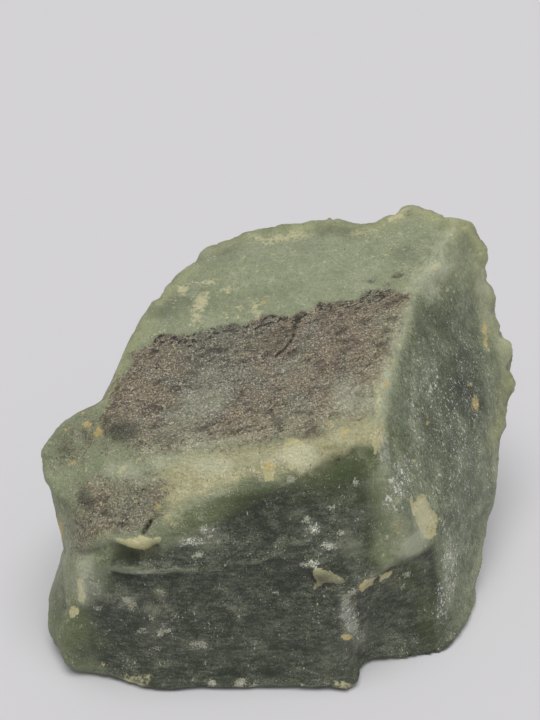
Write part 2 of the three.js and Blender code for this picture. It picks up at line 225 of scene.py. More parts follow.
# pale chips: outline and how far the chip stands proud (mm, negative is sunk)
CHIPS = [
    ([(411, 496), (413, 495), (415, 502), (421, 493), (426, 495), (429, 501), (434, 507), (438, 514),
      (440, 522), (438, 532), (434, 540), (428, 539), (420, 530), (416, 522), (413, 513)], -0.5),
    ([(313, 568), (318, 566), (329, 570), (337, 574), (341, 578), (347, 579), (344, 583), (335, 584),
      (331, 582), (322, 585), (314, 590), (311, 588), (317, 582), (312, 574)], 0.8),
    ([(315, 604), (318, 600), (321, 602), (318, 604), (317, 608)], 0.3),
    ([(357, 589), (361, 584), (366, 580), (372, 576), (377, 577), (373, 584), (368, 589), (362, 591)], 0.3),
    ([(377, 585), (382, 577), (394, 571), (393, 575), (385, 581)], 0.3),
    ([(109, 539), (116, 537), (126, 540), (136, 538), (142, 533), (148, 537), (154, 539), (161, 536),
      (160, 541), (152, 546), (147, 552), (142, 553), (134, 549), (124, 546), (116, 544)], 0.25),
    ([(79, 577), (83, 580), (83, 592), (86, 594), (82, 602), (78, 600), (79, 590), (77, 584)], 0.1),
    ([(70, 607), (76, 606), (85, 609), (80, 613), (72, 618), (67, 622), (70, 615)], 0.1),
    ([(283, 438), (296, 437), (306, 446), (312, 456), (316, 464), (300, 466), (290, 470), (284, 460)], 0.15),
    ([(261, 463), (272, 459), (276, 467), (273, 480), (266, 481), (262, 472)], 0.15),
    ([(374, 432), (378, 431), (379, 447), (375, 452)], 0.15),
    ([(429, 270), (434, 265), (442, 261), (443, 264), (436, 271)], 0.1),
    ([(101, 660), (107, 661), (105, 668), (102, 666)], 0.1),
    ([(341, 634), (350, 633), (350, 640), (342, 640)], 0.1),
]
# yellow and cream stains
STAINS = [
    (200, 303, 11, 6, 60), (196, 317, 6, 4, 40), (228, 289, 5, 3, 0), (226, 316, 3, 2, 0),
    (239, 315, 3, 2, 0), (256, 308, 4, 7, 20), (239, 308, 4, 3, 0), (210, 282, 7, 3, 20),
    (182, 290, 6, 5, 40), (285, 238, 18, 4, 8), (258, 237, 6, 3, 0), (122, 470, 5, 3, 0),
    (345, 685, 10, 3, 0), (133, 680, 14, 4, 12), (432, 269, 7, 3, 35), (378, 400, 3, 14, 8),
    (378, 441, 4, 9, 0), (360, 233, 10, 3, 10), (400, 215, 12, 3, 30),
]
# small yellow spots
SPOTS = [
    (60, 529, 3, 12, 0), (98, 432, 4, 6, 0), (86, 424, 4, 3, 30), (74, 462, 5, 2, 20),
    (52, 556, 2, 12, 0), (66, 430, 4, 2, 30), (267, 466, 5, 4, 0), (385, 384, 3, 3, 0),
    (380, 411, 1, 4, 0), (476, 404, 3, 7, 0), (486, 343, 2, 7, 0), (470, 384, 2, 2, 0),
    (428, 421, 2, 4, 0), (158, 507, 2, 3, 0), (397, 528, 2, 6, 10), (361, 586, 3, 2, 35),
    (347, 637, 5, 3, 0), (484, 330, 2, 8, 0), (263, 302, 3, 2, 0), (127, 543, 4, 1, 0),
    (147, 549, 4, 2, 20), (138, 546, 3, 1, 0), (330, 424, 3, 2, 0), (345, 432, 4, 2, 30),
    (400, 661, 2, 4, 0),
]
# crisp little pale flakes
FLAKES = [
    (306, 520, 4, 3, 60), (313, 531, 5, 4, -30), (328, 546, 7, 3, -10), (342, 533, 4, 3, 20),
    (330, 508, 3, 2, 0), (356, 483, 3, 3, 0), (203, 528, 4, 2, 30), (209, 537, 4, 2, 0),
    (193, 539, 5, 2, 10), (292, 479, 5, 4, 0), (198, 555, 5, 3, 20), (133, 606, 6, 4, 30),
    (126, 600, 5, 3, -40), (162, 593, 5, 2, -20), (152, 619, 3, 3, 0), (161, 633, 4, 4, 0),
    (141, 630, 4, 2, 10), (168, 631, 4, 2, 0), (153, 649, 6, 2, 0), (193, 645, 5, 3, 0),
    (204, 646, 4, 3, 0), (177, 617, 2, 2, 0), (205, 664, 2, 2, 0), (240, 682, 7, 4, 30),
    (253, 685, 5, 3, 0), (213, 683, 4, 3, 0), (275, 593, 4, 2, 0), (313, 563, 6, 3, 10),
    (303, 565, 4, 2, 0), (98, 608, 3, 2, 0), (352, 592, 6, 3, 30), (346, 600, 3, 4, 0),
    (406, 575, 4, 2, 20), (402, 586, 3, 2, 20),
]
# broad lighter (positive) and darker places: painted light and shade, such as the shade under the ledges,
# mixed with the stone's own lighter and darker tone
PAINTED_SHADE_AND_TONE = [
    (455, 250, 16, 22, 0, 0.15), (460, 395, 100, 28, 87, -0.5), (430, 330, 34, 14, 70, -0.3),
    (487, 300, 9, 30, 0, 0.5), (503, 366, 10, 30, 0, 0.4), (456, 522, 26, 14, 0, -0.3),
    (400, 520, 40, 14, 80, 0.1), (414, 544, 16, 9, 30, 0.85), (391, 540, 9, 9, 0, -0.4),
    (345, 583, 8, 7, 0, -0.5), (338, 495, 12, 14, 0, -0.3), (382, 474, 8, 16, 0, 0.5),
    (394, 350, 8, 46, -20, 0.5), (352, 395, 28, 20, 10, 0.45), (466, 400, 26, 22, 0, -0.3),
    (408, 300, 7, 16, 0, 0.3), (262, 346, 40, 10, 20, -0.1), (225, 345, 70, 14, 10, -0.25),
    (200, 405, 40, 14, 10, 0.25), (305, 370, 34, 14, 10, 0.25), (428, 440, 9, 60, 0, -0.3),
    (461, 460, 9, 26, 0, 0.3), (190, 440, 60, 10, 0, 0.2), (124, 432, 18, 13, 0, -0.9),
    (166, 440, 18, 9, 0, -0.8), (120, 470, 22, 10, 0, 0.4), (300, 436, 40, 7, 12, -0.35),
    (70, 440, 24, 16, 30, -0.3), (150, 320, 30, 16, 50, -0.35), (185, 290, 34, 16, 50, -0.3),
    (250, 298, 44, 10, 10, -0.15), (350, 230, 50, 8, 0, -0.3), (420, 248, 20, 18, 0, -0.2),
    (226, 257, 32, 12, 5, -0.3), (200, 304, 12, 8, 60, 0.25), (435, 268, 9, 6, 30, 1.0),
    (428, 289, 12, 18, 30, 0.6), (464, 366, 16, 26, 0, -0.25), (300, 455, 18, 12, 0, 0.8),
    (166, 462, 24, 8, 0, 0.45), (150, 480, 20, 8, 0, 0.3), (250, 460, 60, 8, 10, 0.5),
    (215, 462, 20, 10, 0, 0.4), (240, 515, 60, 14, 20, -0.2), (275, 500, 40, 14, 20, -0.3),
    (362, 450, 10, 10, 0, 0.5), (60, 592, 14, 26, 0, -0.4), (84, 640, 14, 20, 0, -0.3),
    (88, 655, 16, 12, 0, -0.25), (60, 510, 10, 16, 0, -0.3), (86, 560, 11, 14, 0, 0.7),
    (108, 590, 18, 10, -30, 0.3), (82, 590, 6, 12, 0, 0.7), (130, 625, 32, 14, 0, -0.5),
    (200, 640, 20, 12, 0, 0.25), (425, 512, 14, 22, 0, 0.65), (385, 400, 7, 30, -8, 0.5),
    (404, 576, 12, 8, 0, -0.4), (320, 462, 22, 7, 25, 0.4), (290, 577, 50, 16, 0, -0.4),
    (330, 577, 15, 9, 10, -0.55), (440, 644, 32, 10, 15, -0.9), (202, 542, 24, 12, 20, 0.4),
    (292, 510, 16, 14, 0, 0.4), (350, 545, 16, 14, 0, 0.25), (150, 500, 14, 12, 0, -0.2),
    (124, 562, 18, 5, 0, -0.45), (86, 500, 8, 14, 20, -0.5), (114, 612, 8, 44, 0, -0.15),
    (158, 604, 14, 24, 0, 0.35), (152, 545, 8, 6, 0, -0.3), (112, 510, 12, 6, 0, -0.3),
    (160, 592, 10, 6, 0, 0.3), (262, 535, 18, 14, 0, -0.25), (380, 582, 14, 12, 0, 0.35),
    (302, 636, 18, 40, 0, -0.35), (140, 660, 16, 12, 0, -0.25), (450, 275, 40, 30, 0, 0.4),
    (441, 271, 10, 10, 0, 0.5), (250, 632, 28, 14, 0, 0.12), (250, 671, 44, 10, 0, -0.25),
]
# whitish dust, and a painted highlight along the ledge's edge at the left
DUST_AND_PAINTED_HIGHLIGHT = [
    (398, 485, 30, 12, 72, 0.3), (446, 595, 52, 7, 82, 0.36), (349, 617, 30, 8, 110, 0.65),
    (128, 602, 16, 5, 25, 0.5), (155, 628, 16, 8, 20, 0.35), (199, 648, 9, 7, 20, 0.3),
    # the last mark on the next line is a painted highlight where the ledge's edge catches the light
    (88, 586, 18, 14, 60, 0.45), (62, 560, 8, 40, 0, 0.35), (140, 573, 20, 2, 0, 0.6),
    (104, 556, 20, 12, 0, 0.15), (314, 530, 9, 8, 20, 0.45), (330, 545, 12, 4, 0, 0.5),
    (210, 530, 9, 4, 0, 0.4), (190, 542, 14, 5, 0, 0.5), (198, 556, 5, 4, 0, 0.4),
    (405, 552, 30, 8, -30, 0.3), (300, 566, 14, 4, 10, 0.3), (385, 455, 6, 22, 0, 0.6),
    (258, 250, 120, 12, 5, 0.2), (90, 575, 30, 6, 10, 0.35), (262, 684, 14, 3, 0, 0.3),
    (232, 655, 30, 6, 10, 0.15),
]
# painted glow: places where light through the stone is painted as a deeper, yellower green
GLOW = [
    (70, 632, 22, 34, 0, 0.9), (345, 460, 60, 26, 25, 1.0), (430, 325, 30, 20, 70, 0.35),
    (380, 520, 16, 50, 0, 0.5), (110, 556, 30, 10, 0, 0.8), (400, 560, 34, 14, -30, 0.5),
    (430, 620, 14, 40, 10, 0.5), (505, 380, 9, 60, 0, 0.7), (487, 270, 6, 40, 0, 0.7),
    (215, 510, 64, 13, 22, 0.9), (395, 575, 40, 10, -30, 0.5), (95, 640, 14, 14, 0, 0.5),
    (345, 492, 24, 20, 0, 0.5), (450, 280, 44, 34, 0, 0.15), (100, 582, 20, 16, 0, 0.4),
]
# crumbs of white grit
GRIT = [
    (314, 530, 9, 8, 20, 0.9), (330, 545, 12, 4, 0, 1.0), (210, 530, 9, 4, 0, 0.8),
    (190, 542, 14, 5, 0, 0.9), (198, 556, 5, 4, 0, 0.9), (398, 485, 34, 14, 72, 0.9),
    (448, 580, 60, 12, 80, 0.7), (352, 617, 30, 9, 110, 0.7), (425, 400, 90, 24, 85, 0.5),
    (250, 400, 150, 60, 10, 0.25), (164, 632, 12, 8, 20, 0.5), (120, 670, 30, 8, 20, 0.4),
    (260, 470, 60, 14, 10, 0.4), (190, 300, 40, 30, 30, 0.3), (300, 600, 60, 40, 0, 0.1),
    (455, 430, 44, 150, 0, 0.5), (180, 446, 50, 10, 5, 0.4), (312, 564, 9, 5, 0, 1.0),
    (434, 384, 16, 5, 60, 1.0), (75, 500, 14, 40, 0, 0.2),
]


def ease(low, high, value):
    """0 at low and 1 at high, easing from one to the other."""
    t = np.clip((value - low) / (high - low), 0.0, 1.0)
    return t * t * (3 - 2 * t)


def bell(value):
    """1 at 0, falling off to both sides."""
    return np.exp(-np.square(value))


class Noise:
    """Smooth gradient noise, about -1 to 1, over points given in units of its spacing."""

    def __init__(self, seed):
        dice = np.random.RandomState(seed)
        self.order = dice.permutation(256)
        directions = dice.normal(size=(256, 3))
        self.directions = directions / np.linalg.norm(directions, axis=1)[:, None]

    def __call__(self, points):
        cell = np.floor(points).astype(int)
        inside = points - cell
        fade = inside ** 3 * (inside * (inside * 6 - 15) + 10)
        total = 0.0
        for corner in itertools.product((0, 1), repeat=3):
            corner = np.array(corner)
            x, y, z = (cell + corner).T
            pick = self.order[(self.order[(self.order[x & 255] + y) & 255] + z) & 255]
            weight = np.prod(np.where(corner == 1, fade, 1 - fade), axis=1)
            total += weight * np.einsum("ij,ij->i", self.directions[pick], inside - corner)
        return total * NOISE_GAIN

    def layers(self, points, count):
        """The noise in several sizes on top of each other, each half the last."""
        return sum(self(points * 2 ** i + LAYER_SHIFT * i) * 0.5 ** i for i in range(count))


def rows(items, name, width, kind=float):
    """A value of each item of a mesh, as the rows of an array."""
    values = np.empty(len(items) * width, kind)
    items.foreach_get(name, values)
    return values.reshape(-1, width)


class Surface:
    """Vertices of the fine stone mesh as arrays, in millimetres."""

    def __init__(self, mesh):
        self.mesh = mesh
        self.edges = rows(mesh.edges, "vertices", 2, int)
        self.neighbours = np.bincount(self.edges.ravel(), minlength=len(mesh.vertices))
        self.place = rows(mesh.vertices, "co", 3) / MM
        self.normal = rows(mesh.vertices, "normal", 3)

    def write(self):
        self.mesh.vertices.foreach_set("co", (self.place * MM).ravel())
        self.mesh.update()
        self.normal = rows(self.mesh.vertices, "normal", 3)

    def smoothed(self, values, rounds):
        """Values averaged with their neighbours' values, so many times."""
        values = np.asarray(values, float)
        flat = values.reshape(len(values), -1)
        a, b = self.edges.T
        for _ in range(rounds):
            total = np.stack([
                np.bincount(a, flat[b, k], len(flat)) + np.bincount(b, flat[a, k], len(flat))
                for k in range(flat.shape[1])
            ], axis=1)
            flat = (flat + total) / (1 + self.neighbours[:, None])
        return flat.reshape(values.shape)

    def bulge(self, rounds):
        """How far each vertex stands proud of its smoothed surroundings."""
        return np.einsum("ij,ij->i", self.place - self.smoothed(self.place, rounds), self.normal)

    def joined(self, hidden, seen_values, hidden_values):
        """Columns of the seen and the hidden side, which run into each other."""
        values = np.where(hidden[:, None], hidden_values, seen_values)
        share = self.smoothed(hidden.astype(float), BORDER_ROUNDS)
        near = ease(0, 0.5, 1 - np.abs(2 * share - 1))[:, None]
        return values + near * (self.smoothed(values, BORDER_ROUNDS) - values)

    def store(self, name, values):
        layer = self.mesh.attributes.new(name, "FLOAT", "POINT")
        layer.data.foreach_set("value", np.asarray(values, np.float32))


class View:
    """The reference view: where points fall in it, and how far they are from outlines in it."""

    def __init__(self, place, normal):
        pitch = math.radians(CAMERA_PITCH)
        forward = np.array([0, math.cos(pitch), -math.sin(pitch)])
        upward = np.array([0, math.sin(pitch), math.cos(pitch)])
        offset = place - CAMERA_PLACE
        depth = offset @ forward
        across = IMAGE_WIDTH / 2 + FOCAL_PIXELS * offset[:, 0] / depth
        down = IMAGE_HEIGHT / 2 - FOCAL_PIXELS * (offset @ upward) / depth
        self.points = np.stack([across, down], axis=1)
        self.scale = depth / FOCAL_PIXELS
        self.facing = -np.einsum("ij,ij->i", normal, offset) / np.linalg.norm(offset, axis=1)
        self.seen = ease(0, 0.1, self.facing)

    def nearest_on(self, line, closed):
        """Distance to a line, side of it (1 is right), length along it and its whole length, in pixels."""
        corners = np.array(line, float)
        starts = corners if closed else corners[:-1]
        ends = np.roll(corners, -1, axis=0)[: len(starts)]
        distance = np.inf
        side = along = walked = 0.0
        for start, end in zip(starts, ends):
            run = end - start
            length = np.hypot(*run)
            offset = self.points - start
            t = np.clip(offset @ run / length ** 2, 0, 1)
            gap = np.hypot(*(offset - t[:, None] * run).T)
            near = gap < distance
            distance = np.where(near, gap, distance)
            side = np.where(near, np.sign(run[0] * offset[:, 1] - run[1] * offset[:, 0]), side)
            along = np.where(near, walked + t * length, along)
            walked += length
        return distance, side, along, walked

    def to_line(self, line):
        """Distance in mm to an open line."""
        return self.nearest_on(line, False)[0] * self.scale

    def inside(self, outline):
        """Distance in mm inside a closed outline, negative outside and where hidden."""
        distance = self.nearest_on(outline, True)[0]
        within = False
        across, down = self.points.T
        corners = np.array(outline, float)
        for start, end in zip(corners, np.roll(corners, -1, axis=0)):
            crosses = (start[1] > down) != (end[1] > down)
            rise = end[1] - start[1] or 1.0
            within ^= crosses & (across < start[0] + (down - start[1]) * (end[0] - start[0]) / rise)
        signed = np.where(within, distance, -distance) * self.scale
        return np.where(self.seen > 0, signed, FAR_OUTSIDE)

    def below(self, line):
        """Distance in mm below a line drawn left to right, and a weight that fades at its ends."""
        distance, side, along, total = self.nearest_on(line, False)
        fade = END_FADE * total
        weight = ease(0, fade, along) * ease(0, fade, total - along)
        return distance * side * self.scale, weight * self.seen

    def ellipse(self, x, y, length, width, turn):
        """1 at the middle of a turned ellipse, 0 at its border, negative outside and where hidden."""
        angle = math.radians(turn)
        right, down = (self.points - (x, y)).T
        along = right * math.cos(angle) - down * math.sin(angle)
        across = right * math.sin(angle) + down * math.cos(angle)
        value = 1 - np.hypot(along / length, across / width)
        return np.where(self.seen > 0, value, OUT_OF_ELLIPSE)

    def small_marks(self, ellipses, unevenness):
        """Distance in mm inside the nearest small ellipse, with an uneven border."""
        depth = FAR_OUTSIDE
        for x, y, length, width, turn in ellipses:
            value = self.ellipse(x, y, length, width, turn)
            depth = np.maximum(depth, value * min(length, width) * self.scale + unevenness)
        return depth

    def soft_marks(self, ellipses, reach, full, unevenness, join=np.maximum):
        """Strength of ellipses, enlarged by reach, that fade from where their value is full."""
        total = 0.0
        for x, y, length, width, turn, strength in ellipses:
            value = self.ellipse(x, y, length * reach, width * reach, turn)
            total = join(total, strength * ease(0, full, value + unevenness))
        return total


def new_object(name, data):
    made = bpy.data.objects.new(name, data)
    bpy.context.scene.collection.objects.link(made)
    return made


def fine_mesh():
    """The CAD solid as one smooth, evenly meshed skin."""
    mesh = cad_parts[NODE].data.copy()
    mesh.name = "stone_skin"
    shell = bmesh.new()
    shell.from_mesh(mesh)
    bmesh.ops.remove_doubles(shell, verts=shell.verts, dist=1e-6)
    crease = shell.edges.layers.float.new("crease_edge")
    for edge in shell.edges:
        edge[crease] = KEPT_CREASE * (edge.calc_face_angle(0.0) > SHARP_ANGLE)
    shell.to_mesh(mesh)
    shell.free()
    scratch = new_object("scratch", mesh)
    rounding = scratch.modifiers.new("rounding", "SUBSURF")
    rounding.levels = ROUNDING_LEVELS
    skin = scratch.modifiers.new("skin", "REMESH")
    skin.mode = "VOXEL"
    skin.voxel_size = VOXEL * MM
    depsgraph = bpy.context.evaluated_depsgraph_get()
    fine = bpy.data.meshes.new_from_object(scratch.evaluated_get(depsgraph))
    bpy.data.objects.remove(scratch)
    fine.materials.clear()
    fine.shade_smooth()
    return fine


# ---- Marks and shape of the skin ----
# a number added to a place inside a noise only picks another part of that noise
class Stone:
    """The stone while it is carved: its first skin, noises, marks and lift (mm)."""

    def __init__(self, surface):
        self.surface = surface
        self.place = surface.place.copy()
        self.normal = surface.normal.copy()
        self.view = View(self.place, self.normal)
        self.hidden = self.view.seen == 0
        self.is_base = (self.normal[:, 2] < -0.9) & (self.place[:, 2] < 0.3)
        self.convex = surface.bulge(25)
        self.lumps = Noise(SEED)
        self.ragged = Noise(SEED + 1)
        self.streaks = Noise(SEED + 2)
        self.grit = Noise(SEED + 3)
        self.ragged_mm = self.ragged.layers(self.place / RAGGED_SIZE, 3)
        self.fine_mm = self.ragged(self.place / FINE_SIZE)
        self.to_seam_top = self.view.to_line(SEAM_UPPER_EDGE)
        self.lift = np.zeros(len(self.place))
        self.marks = {}


def mark_seam(stone):
    """The brown seam: crisp at its upper edge, fading at its lower edge and its left end."""
    view, ragged, to_upper = stone.view, stone.ragged_mm, stone.to_seam_top
    across, down = view.points.T
    to_lower = view.to_line(SEAM_LOWER_EDGE)
    softness = 0.5 + 4.5 * ease(-4, 3, to_upper - to_lower)
    softness += 2.5 * ease(*SEAM_BLURS_LEFT, across)
    seam = ease(-softness, softness, view.inside(SEAM_UPPER_EDGE + SEAM_LOWER_EDGE) + ragged)
    into_ledge = view.inside(LEDGE_SEAM) + ragged
    seam = np.maximum(seam, 0.8 * ease(-5, 4.5, into_ledge))
    seam = np.maximum(seam, 0.52 * ease(-2.5, 2.5, view.inside(KNOB) + ragged))
    for island in SEAM_ISLANDS:
        value = view.ellipse(*island)
        seam = np.maximum(seam, 0.7 * ease(-0.2, 0.7, value + 0.7 * ragged))
    # pitted along the upper edge, where the material paints more black pits, partly as shade under the
    # band's edge
    pitted = seam * (1 - ease(0.5, 5.5, to_upper)) * ease(*PITTED_FROM, across) * view.seen
    faded = view.seen * ease(10, 0, to_lower) * ease(0, 6, to_upper)
    ledge_faded = 0.3 + 0.35 * ease(*LEDGE_FADES_UP, down)
    faded = np.maximum(faded, ledge_faded * ease(-4, 0, into_ledge))
    stone.marks.update(seam=seam, pitted=pitted, faded=faded)


def mark_chips(stone):
    """Pale chips, proud or sunk."""
    chip = FAR_OUTSIDE
    for outline, height in CHIPS:
        into_chip = stone.view.inside(outline) + 0.45 * stone.fine_mm
        chip = np.maximum(chip, into_chip)
        stone.lift += height * ease(-0.15, 0.35, into_chip)
    stone.marks["chip"] = chip


def mark_ellipses(stone):
    """Stains, spots and flakes in mm; painted shade and light with tone, dust with one painted highlight,
    grit and painted glow by strength.
    """
    view, ragged, fine = stone.view, stone.ragged_mm, stone.fine_mm
    stone.marks.update(
        stain=view.small_marks(STAINS, 0.35 * ragged),
        spot=view.small_marks(SPOTS, 0.2 * fine),
        flake=view.small_marks(FLAKES, 0.4 * fine),
        # painted light and shade, mixed with the stone's own lighter and darker tone
        shade=view.soft_marks(PAINTED_SHADE_AND_TONE, 1.5, 0.75, 0.1 * ragged, join=np.add),
        dust=view.soft_marks(DUST_AND_PAINTED_HIGHLIGHT, 1.4, 0.6, 0.25 * ragged),
        grit=view.soft_marks(GRIT, 1.3, 0.7, 0.2 * ragged),
        # painted glow of light through the stone
        glow=view.soft_marks(GLOW, 1.4, 0.7, 0.1 * ragged),
    )


def mark_rims(stone):
    """The painted glow of light through the translucent rims, and how near the skin is to a rim."""
    rim = stone.near_rim = 0.0
    for line, width in RIMS:
        to_rim = stone.view.to_line(line)
        uneven_width = width * (1 + 0.3 * stone.ragged_mm)
        # the rims' painted glow of light through the stone
        rim = np.maximum(rim, stone.view.seen * bell(to_rim / uneven_width))
        stone.near_rim = np.maximum(stone.near_rim, bell(to_rim / RIM_BITE_REACH))
    stone.marks["rim"] = rim


def mark_faces(stone):
    """Fresh dark breaks (partly painted shade), the right face, the pale shoulder and the pale ridge."""
    view, ragged = stone.view, stone.ragged_mm
    into_shoulder = view.inside(SHOULDER)
    far_left = ease(*FRESH_BLURS_LEFT, view.points[:, 0])
    scoop_side = ease(-0.2, 0.5, view.ellipse(*SCOOP_SIDE))
    scoop_top = ease(-0.2, 0.5, view.ellipse(*SCOOP_TOP))
    softness = 1.0 + 3.5 * ease(9, 0, np.abs(into_shoulder))
    softness = softness + 1.3 * far_left + scoop_side + 2.2 * scoop_top
    into_fresh = view.inside(FRESH_AND_SHADED_BREAK) + (0.6 + far_left) * ragged
    right = ease(-1, 1, view.inside(RIGHT_FACE) + 0.5 * ragged)
    right *= 1 - 0.8 * ease(0, 0.6, view.ellipse(*RIGHT_FACE_TOP))
    stone.marks.update(
        # fresh breaks, their darkness partly painted shade of faces turned from the light
        fresh=ease(-1, 1.4, into_fresh / softness),
        right=right,
        shoulder=ease(-3.5, 2, into_shoulder + 0.8 * ragged),
        ridge=ease(-1.5, 1.2, view.inside(RIDGE_STRIP) + 0.5 * ragged),
    )


def mark_hidden_side(stone):
    """Marks from noise on the hidden side, which run into those of the seen side."""
    place, marks, lumps = stone.place, stone.marks, stone.lumps
    underside = ease(-0.4, -0.8, stone.normal[:, 2]) * ease(3, 0.5, place[:, 2])
    browned = lumps.layers(place / HIDDEN_SEAM_SIZES + 5.1, 2) + 0.12 * stone.ragged_mm
    broken = lumps.layers(place / HIDDEN_FRESH_SIZE + 1.7, 2) + 0.1 * stone.ragged_mm
    fresh = np.maximum(ease(-0.1, 0.4, broken), underside)
    hidden_marks = {
        "seam": ease(0.30, 0.56, browned) * (1 - underside),
        "fresh": 0.85 * fresh,
        "right": 1 - fresh,
        "grit": 0.5 * ease(-0.1, 0.6, stone.ragged.layers(place / HIDDEN_GRIT_SIZE, 2)),
        "dust": 0.6 * ease(0.3, 0.8, lumps.layers(place / HIDDEN_DUST_SIZE + 4.4, 3)),
        "glow": 0.6 * ease(0.1, 0.6, lumps.layers(place / HIDDEN_GLOW_SIZE + 12.5, 2)),
        **dict.fromkeys(("rim", "shade", "shoulder"), np.zeros(len(place))),
    }
    seen_side = np.stack([marks[name] for name in hidden_marks], axis=1)
    hidden_side = np.stack(list(hidden_marks.values()), axis=1)
    joined = stone.surface.joined(stone.hidden, seen_side, hidden_side)
    marks.update(zip(hidden_marks, joined.T))
    hidden_stain = 2.5 * (lumps.layers(place / HIDDEN_STAIN_SIZE + 8.8, 3) - 0.85)
    marks["stain"] = np.where(stone.hidden, hidden_stain, marks["stain"])


def carve_edges(stone):
    """Sharp ledges, a little proud above their drop, and dark cracks."""
    crack = 0.0
    for line, drop, reach in LEDGES:
        below, weight = stone.view.below(line)
        below = below + 0.35 * stone.ragged_mm
        stone.lift -= drop * weight * ease(-0.1, 0.9, below) * (1 - ease(0.9, reach, below))
        stone.lift += LIP_SHARE * drop * weight * bell(below + 0.7)
    for line, half_width, depth, darkness in CRACKS:
        below, weight = stone.view.below(line)
        to_middle = np.abs(below + 0.2 * stone.fine_mm)
        groove = weight * (1 - ease(0.4 * half_width, 2.2 * half_width, to_middle))
        crack = np.maximum(crack, darkness * groove)
        stone.lift -= depth * groove
    stone.marks["crack"] = crack


def carve_outline(stone):
    """Lobes and notches of the seen outline, and stepped breaks on the hidden side."""
    view = stone.view
    for x, y, radius, height in LOBES:
        gap = np.hypot(*(view.points - (x, y)).T) / radius
        stone.lift += height * ease(1, 0.3, gap) * ease(0.75, 0.45, np.abs(view.facing))
    climb = stone.place @ STAIR_DIRECTION / STAIR_SPACING
    stairs = 1.3 * stone.lumps.layers(stone.place / STAIR_LUMPS + 6.6, 3) + climb
    share = stairs - np.floor(stairs)
    step = ease(0.8, 1, share) - share + 0.4
    stone.lift += STAIR_HEIGHT * ease(0.02, -0.3, view.facing) * step


def carve_relief(stone):
    """Broad lumps, hackle, the sunken seam with its pits, and grain."""
    place, marks, grit = stone.place, stone.marks, stone.grit
    seam = marks["seam"]
    stone.lift += LUMP_HEIGHT * stone.lumps.layers(place / LUMP_SIZE, 3)
    hackle = 1 - np.abs(stone.lumps.layers(place / HACKLE_SIZE + 3.7, 3))
    stone.lift += HACKLE_HEIGHT * (hackle - 0.7) * (1 - seam)
    pits = np.abs(stone.streaks.layers(place @ PIT_TURN / PIT_SIZES, 3))
    edge_pits = 0.6 + 0.6 * (1 - ease(0, 4, stone.to_seam_top))
    sunk = PIT_DEPTH * edge_pits * (pits - 0.35) - SEAM_DEPTH
    stone.lift += seam * sunk - PITTED_DEPTH * marks["pitted"]
    stone.lift += seam * SEAM_GRAIN_HEIGHT * grit.layers(place / SEAM_GRAIN_SIZE, 2)
    skin_grain = SKIN_GRAIN_HEIGHT * grit.layers(place / SKIN_GRAIN_SIZE + 9, 2)
    stone.lift += skin_grain * (1 - 0.5 * marks["fresh"])


def carve_bites(stone):
    """Bites out of the convex edges, deeper at the rims, none at the foot."""
    bites = ease(0, 0.45, stone.lumps.layers(stone.place / BITE_SIZE + 11.3, 2))
    smooth_left = ease(*SMOOTH_LEFT, stone.view.points[:, 0])
    bites *= 1 - 0.7 * ease(-0.35, 0, stone.view.facing) * smooth_left
    bites *= ease(1, 7, stone.place[:, 2])
    depth = BITE_DEPTH + RIM_BITE_DEPTH * stone.near_rim
    stone.lift -= depth * bites * ease(0.1, 0.5, stone.convex)


def move_skin(stone):
    """Moves the skin by its lift, but not the underside, and rounds the sharpest edges."""
    surface, is_side = stone.surface, ~stone.is_base
    surface.place[is_side] += (stone.normal * stone.lift[:, None])[is_side]
    rounded = 0.8 * ease(0.25, 0.7, surface.bulge(6))[:, None]
    surface.place += rounded * (surface.smoothed(surface.place, 4) - surface.place)


def shape_foot(stone):
    """The underside's hollows, and its rim, which curls up and reaches further out."""
    surface, is_base, sideways = stone.surface, stone.is_base, stone.normal[:, :2]
    hollows = HOLLOW_DEPTH * ease(0, 0.6, stone.lumps.layers(stone.place / HOLLOW_SIZE + 2.9, 3))
    curl = UNDERCUT * ease(0.95, 0.5, surface.smoothed(is_base.astype(float), 14))
    surface.place[is_base, 2] = np.maximum(hollows, curl)[is_base]
    foot = ease(FOOT_HEIGHT, 0, surface.place[:, 2]) * ~is_base
    outward = sideways / np.maximum(np.linalg.norm(sideways, axis=1), 0.3)[:, None]
    surface.place[:, 2] += UNDERCUT * foot
    surface.place[:, :2] += FOOT_REACH * foot[:, None] * outward


def keep_in_box(surface):
    """Keeps the skin above the table and within OUTREACH of the CAD box."""
    low = np.array(cad_low) / MM - OUTREACH
    high = np.array(cad_high) / MM + OUTREACH
    low[2] = 0
    surface.place = np.clip(surface.place, low, high)


def thinness(surface):
    """Near 1 where little stone lies behind the skin, 0 where it is thick."""
    polygons = [tuple(polygon.vertices) for polygon in surface.mesh.polygons]
    tree = BVHTree.FromPolygons([Vector(place) for place in surface.place], polygons)
    thickness = np.full(len(surface.place), THICKEST)
    for i, (place, normal) in enumerate(zip(surface.place, surface.normal)):
        inward = -Vector(normal)
        distance = tree.ray_cast(Vector(place) + inward * RAY_START, inward, THICKEST)[3]
        if distance is not None:
            thickness[i] = distance
    return surface.smoothed(np.exp(-thickness / THIN), 6)


def carve(surface):
    """Marks and shapes the skin, and stores the marks for the material."""
    stone = Stone(surface)
    mark_seam(stone)
    mark_chips(stone)
    mark_ellipses(stone)
    mark_rims(stone)
    mark_faces(stone)
    mark_hidden_side(stone)
    carve_edges(stone)
    carve_outline(stone)
    carve_relief(stone)
    carve_bites(stone)
    move_skin(stone)
    shape_foot(stone)
    keep_in_box(surface)
    surface.write()
    for name, values in stone.marks.items():
        surface.store(name, values)
    above_foot = ease(1.5, 5, surface.place[:, 2])
    surface.store("edge", above_foot * surface.smoothed(surface.bulge(8), 1))
    # how thin the stone is behind the skin, where the material paints a glow of light through it
    surface.store("thin", above_foot * thinness(surface))


